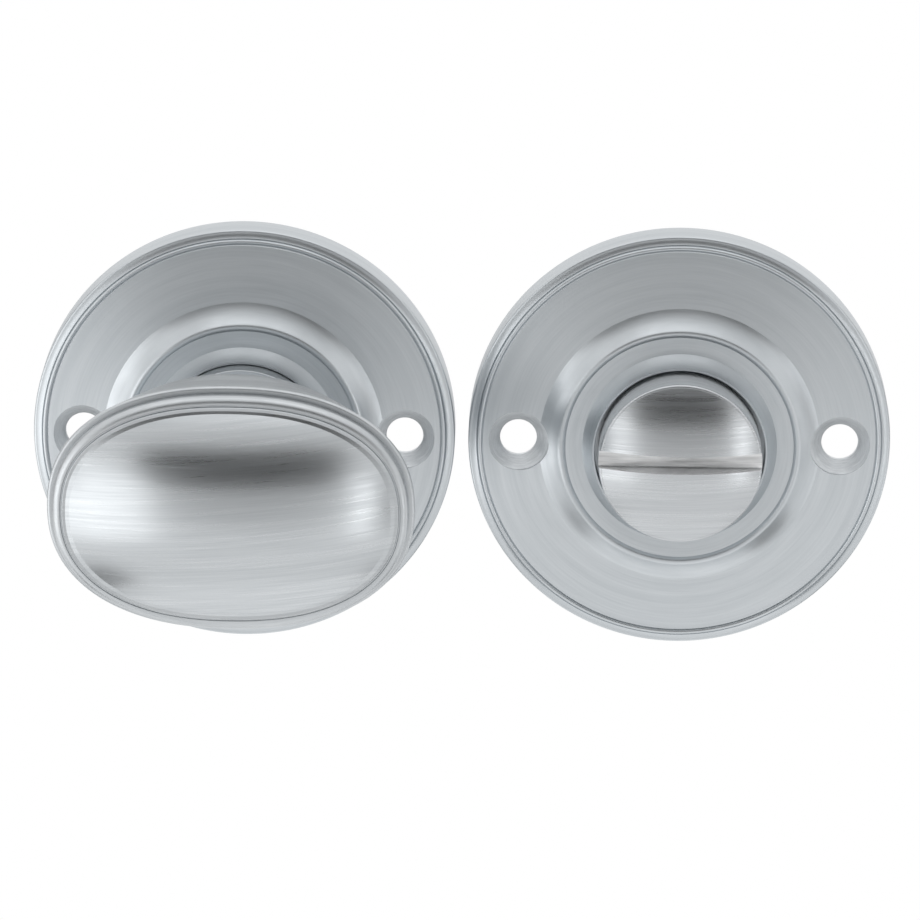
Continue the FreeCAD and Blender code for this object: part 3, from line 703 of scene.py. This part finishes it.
def headOutline():
    # (inset, height) of the head's edge: rounded lip, bead, groove and step, up to the foot of the dome
    k = knob
    head, edge = k["headHeight"], k["lipEdge"]
    lipTop = head + k["lip"]
    beadTop = lipTop + k["beadHeight"]
    grooveFloor = beadTop - k["grooveDepth"]
    stepFoot = k["grooveInset"] + k["grooveWidth"]
    points = [(edge, head)]
    arcTo(points, (0.0, head + edge), edge, -1, 8)
    points.append((0.0, lipTop - edge))
    arcTo(points, (edge, lipTop), edge, -1, 8)
    points += [(k["beadInset"], lipTop), (k["beadInset"], beadTop - k["beadRadius"])]
    arcTo(points, (k["beadInset"] + k["beadRadius"], beadTop), k["beadRadius"], -1, 14)
    points += [(k["grooveInset"], beadTop), (k["grooveInset"] + k["grooveSlope"], grooveFloor),
               (stepFoot - k["grooveSlope"], grooveFloor), (stepFoot, beadTop + k["stepEdge"]),
               (stepFoot + k["stepEdge"], beadTop + k["stepRise"]),
               (stepFoot + k["stepWidth"], beadTop + k["stepRise"])]
    return points, beadTop


def knobRings():
    # each ring: height, half length, half width, fullness, inset
    k = knob
    rings = [(h, r, r, 2.0, 0.0) for r, h in stemPoints()]
    length, width, full, neck = k["headHalfLength"], k["headHalfWidth"], k["headFullness"], k["neckRadius"]
    for step in range(k["flareSteps"] + 1):
        share = step / k["flareSteps"]
        grownLength, grownWidth = smoothTable(k["flare"], share)
        rings.append((k["neckHeight"] + (k["headHeight"] - k["neckHeight"]) * share,
                      neck + (length - k["lipEdge"] - neck) * grownLength,
                      neck + (width - k["lipEdge"] - neck) * grownWidth,
                      2 + (full - 2) * grownLength, 0.0))
    outline, beadTop = headOutline()
    # the flare already ends at the outline's first point
    rings += [(h, length, width, full, inset) for inset, h in outline[1:]]
    # the dome is part of a circle over the short way, drawn out over the long way
    inset = outline[-1][0]
    reach, rise = width - inset, k["domeRise"]
    radius = (reach * reach + rise * rise) / (2 * rise)
    for step in range(1, k["domeSteps"]):
        share = 1 - step / k["domeSteps"]
        height = beadTop + rise - radius + sqrt(radius ** 2 - (reach * share) ** 2)
        if height >= beadTop + k["stepRise"]:
            rings.append((height, (length - inset) * share, (width - inset) * share,
                          2 + (full - 2) * share ** 0.5, 0.0))
    return rings, beadTop


def byAngle(verts):
    return sorted(verts, key=lambda vert: atan2(vert.co.z, vert.co.x))


def makeKnob():
    rings, beadTop = knobRings()
    top = beadTop + knob["domeRise"]
    bm = bmesh.new()
    bmesh.ops.create_circle(bm, cap_ends=False, radius=mm, segments=knob["steps"])
    bmesh.ops.rotate(bm, cent=(0, 0, 0), matrix=Matrix.Rotation(radians(90), 3, "X"), verts=bm.verts)
    ring = byAngle(bm.verts)
    angles = [atan2(vert.co.z, vert.co.x) for vert in ring]
    for index, (height, halfLength, halfWidth, fullness, inset) in enumerate(rings):
        if index > 0:
            edges = [bm.edges.get((ring[i - 1], ring[i])) for i in range(len(ring))]
            made = bmesh.ops.extrude_edge_only(bm, edges=edges)["geom"]
            ring = byAngle(item for item in made if isinstance(item, bmesh.types.BMVert))
        for vert, angle in zip(ring, angles):
            x, z = ovalPoint(angle, halfLength, halfWidth, fullness, inset)
            vert.co = (turnX + x * mm, -height * mm, z * mm)
        if index in (0, len(rings) - 1):
            bmesh.ops.contextual_create(bm, geom=ring)
    headBack = -knob["headHeight"] * mm
    front = [face for face in bm.faces if len(face.verts) > 4 and face.calc_center_median().y < headBack]
    for vert in bmesh.ops.poke(bm, faces=front)["verts"]:
        vert.co = (turnX, -top * mm, 0)
    bmesh.ops.recalc_face_normals(bm, faces=bm.faces)
    obj = newObject("turnKnob", bm)
    pin = bmesh.new()
    pinRadius = shank["pinRadius"] * mm
    bmesh.ops.create_cone(pin, cap_ends=True, segments=48, radius1=pinRadius, radius2=pinRadius,
                          depth=shank["pinLength"] * mm)
    bmesh.ops.rotate(pin, cent=(0, 0, 0), matrix=Matrix.Rotation(radians(90), 3, "Y"), verts=pin.verts)
    bmesh.ops.translate(pin, verts=pin.verts, vec=(turnX, -shank["pinHeight"] * mm, 0))
    combine(obj, [socketCutter("knobSocket", turnX), newObject("pinHole", pin)], "DIFFERENCE")
    finishMesh(obj, [
        makePlate("knobPlate", "knobPlate", turnX),
        makePlate("rosePlate", "knobBasePlate", turnX),
        makePlate("knobSidePlate", "knobSidePlate", turnX),
    ])
    for face in obj.data.polygons:
        height = -face.center.y / mm
        if height < knob["baseHeight"] + 10 * hair:
            face.material_index = 1
        elif height < beadTop + 12 * hair:
            face.material_index = 2
    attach(obj, "turn")
    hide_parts("turn_knob")


makeKnob()
print("thumb turn made")

# parts that keep the CAD's own shape get their finish
finishes = {
    "turn_bush": "nylon", "release_bush": "nylon",
    "turn_flat_washer": "washerSteel", "release_flat_washer": "washerSteel",
    "turn_spring_washer": "springSteel", "release_spring_washer": "springSteel",
    "turn_circlip": "springSteel", "release_circlip": "springSteel",
    "turn_spindle": "spindleSteel", "turn_spindle_pin": "washerSteel",
}
for node, finish in finishes.items():
    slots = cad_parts[node].data.materials
    if len(slots) == 0:
        slots.append(materials[finish])
    for index in range(len(slots)):
        slots[index] = materials[finish]
print("hidden parts finished")

# floor well below, so that its shadow stays out of the photograph's view
studio = {
    "floorHeight": -450.0, "floorSize": 6000.0, "floorTone": 0.9, "floorRoughness": 0.7,
    "shadowDepth": 20.0, "shadowReach": 90.0, "whiteReach": 170.0, "worldStrength": 0.75,
}


def mirrorRays(tree):
    # 1 where the camera sees a thing straight, in a reflection or through glass
    seen = addNode(tree, "ShaderNodeLightPath").outputs
    direct = calc(tree, "MAXIMUM", seen["Is Camera Ray"], seen["Is Glossy Ray"])
    return calc(tree, "MAXIMUM", direct, seen["Is Transmission Ray"])


def makeFloor():
    bm = bmesh.new()
    bmesh.ops.create_grid(bm, x_segments=1, y_segments=1, size=studio["floorSize"] / 2 * mm)
    bmesh.ops.translate(bm, verts=bm.verts, vec=(0, 0, studio["floorHeight"] * mm))
    floor = newObject("floor", bm)
    material, tree, surface = newMaterial("paleFloor")
    tone = studio["floorTone"]
    surface.inputs["Base Color"].default_value = (tone, tone, tone, 1)
    surface.inputs["Roughness"].default_value = studio["floorRoughness"]
    white = addNode(tree, "ShaderNodeEmission", {"Color": (1, 1, 1, 1), "Strength": 1.0})
    position = addNode(tree, "ShaderNodeTexCoord").outputs["Object"]
    middle = (releaseX / 2, studio["shadowDepth"] * mm, 0)
    offset = vectorCalc(tree, "MULTIPLY", vectorCalc(tree, "SUBTRACT", position, middle), (1, 1, 0))
    away = spread(tree, vectorCalc(tree, "LENGTH", offset), studio["shadowReach"] * mm,
                  studio["whiteReach"] * mm)
    share = calc(tree, "MULTIPLY", away, mirrorRays(tree))
    mixed = addNode(tree, "ShaderNodeMixShader", {0: share, 1: surface.outputs[0], 2: white.outputs[0]})
    tree.links.new(mixed.outputs[0], tree.nodes["Material Output"].inputs["Surface"])
    floor.data.materials.append(material)


def makeWorld():
    world = bpy.data.worlds.new("studio")
    bpy.context.scene.world = world
    world.use_nodes = True
    tree = world.node_tree
    background = tree.nodes["Background"]
    background.inputs["Color"].default_value = (1, 1, 1, 1)
    strength = spread(tree, mirrorRays(tree), 0.0, 1.0, studio["worldStrength"], 1.0)
    tree.links.new(strength, background.inputs["Strength"])


# soft lamps and cards round the object, placed by their middles, distances and sizes in metres
lamps = {
    "leftBox": {"azimuth": -42.0, "elevation": -10.0, "distance": 0.95, "size": (0.42, 0.88), "power": 0.86},
    "leftSide": {"azimuth": -68.0, "elevation": -10.0, "distance": 0.95, "size": (0.5, 0.88), "power": 1.1},
    "rightStrip": {"azimuth": 43.0, "elevation": -6.0, "distance": 0.95, "size": (0.085, 0.6),
                   "power": 0.38},
    "topBox": {"azimuth": 0.0, "elevation": 80.0, "distance": 1.0, "size": (0.9, 0.6), "power": 0.6},
}
cards = {
    "frontCard": {"azimuth": 1.8, "elevation": 26.0, "distance": 1.5, "size": (1.94, 0.82), "tone": 0.05},
    "upperCard": {"azimuth": 0.0, "elevation": 53.0, "distance": 1.55, "size": (2.4, 0.5), "tone": 0.83},
    "lowerCard": {"azimuth": 7.0, "elevation": -15.0, "distance": 1.52, "size": (1.95, 1.4), "tone": 0.7},
    "underCard": {"azimuth": 0.0, "elevation": -84.0, "distance": 0.4, "size": (0.5, 0.36), "tone": 1.12},
    "rightCard": {"azimuth": 60.0, "elevation": -6.0, "distance": 1.2, "size": (0.36, 0.7), "tone": 0.4},
    "leftGapCard": {"azimuth": -66.0, "elevation": 3.0, "distance": 0.85, "size": (0.12, 0.16),
                    "tone": 0.15},
    "lowLeftCard": {"azimuth": -71.0, "elevation": -58.0, "distance": 0.46, "size": (0.17, 0.2),
                    "tone": 0.15},
    "lowRightCard": {"azimuth": 82.0, "elevation": -58.0, "distance": 0.46, "size": (0.2, 0.24),
                     "tone": 0.2},
    "leftRearCard": {"azimuth": -125.0, "elevation": 5.0, "distance": 1.4, "size": (0.5, 1.2), "tone": 0.2},
    "rightRearCard": {"azimuth": 118.0, "elevation": 5.0, "distance": 1.4, "size": (0.5, 1.2), "tone": 0.2},
}


def facing(place):
    back = directionOf(place["azimuth"], place["elevation"])
    matrix = back.to_track_quat("Z", "Y").to_matrix().to_4x4()
    matrix.translation = Vector((releaseX / 2, 0, 0)) + back * place["distance"]
    return matrix


def makeLamps():
    for name, place in lamps.items():
        data = bpy.data.lights.new(name, "AREA")
        data.shape = "RECTANGLE"
        data.size, data.size_y = place["size"]
        data.energy = place["power"]
        lamp = bpy.data.objects.new(name, data)
        lamp.matrix_world = facing(place)
        lamp.visible_camera = False
        bpy.context.scene.collection.objects.link(lamp)


def makeCards():
    # seen only in reflections
    for name, place in cards.items():
        bm = bmesh.new()
        bmesh.ops.create_grid(bm, x_segments=1, y_segments=1, size=0.5)
        across, tall = place["size"]
        bmesh.ops.scale(bm, vec=(across, tall, 1), verts=bm.verts)
        card = newObject(name, bm)
        card.matrix_world = facing(place)
        material, tree, surface = newMaterial(name)
        tone = place["tone"]
        glow = addNode(tree, "ShaderNodeEmission", {"Color": (tone, tone, tone, 1), "Strength": 1.0})
        tree.links.new(glow.outputs[0], tree.nodes["Material Output"].inputs["Surface"])
        card.data.materials.append(material)
        card.visible_camera = False
        card.visible_diffuse = False
        card.visible_shadow = False
        card.visible_transmission = False


makeFloor()
makeWorld()
makeLamps()
makeCards()
bpy.context.scene.view_settings.view_transform = "Standard"
print("studio made")
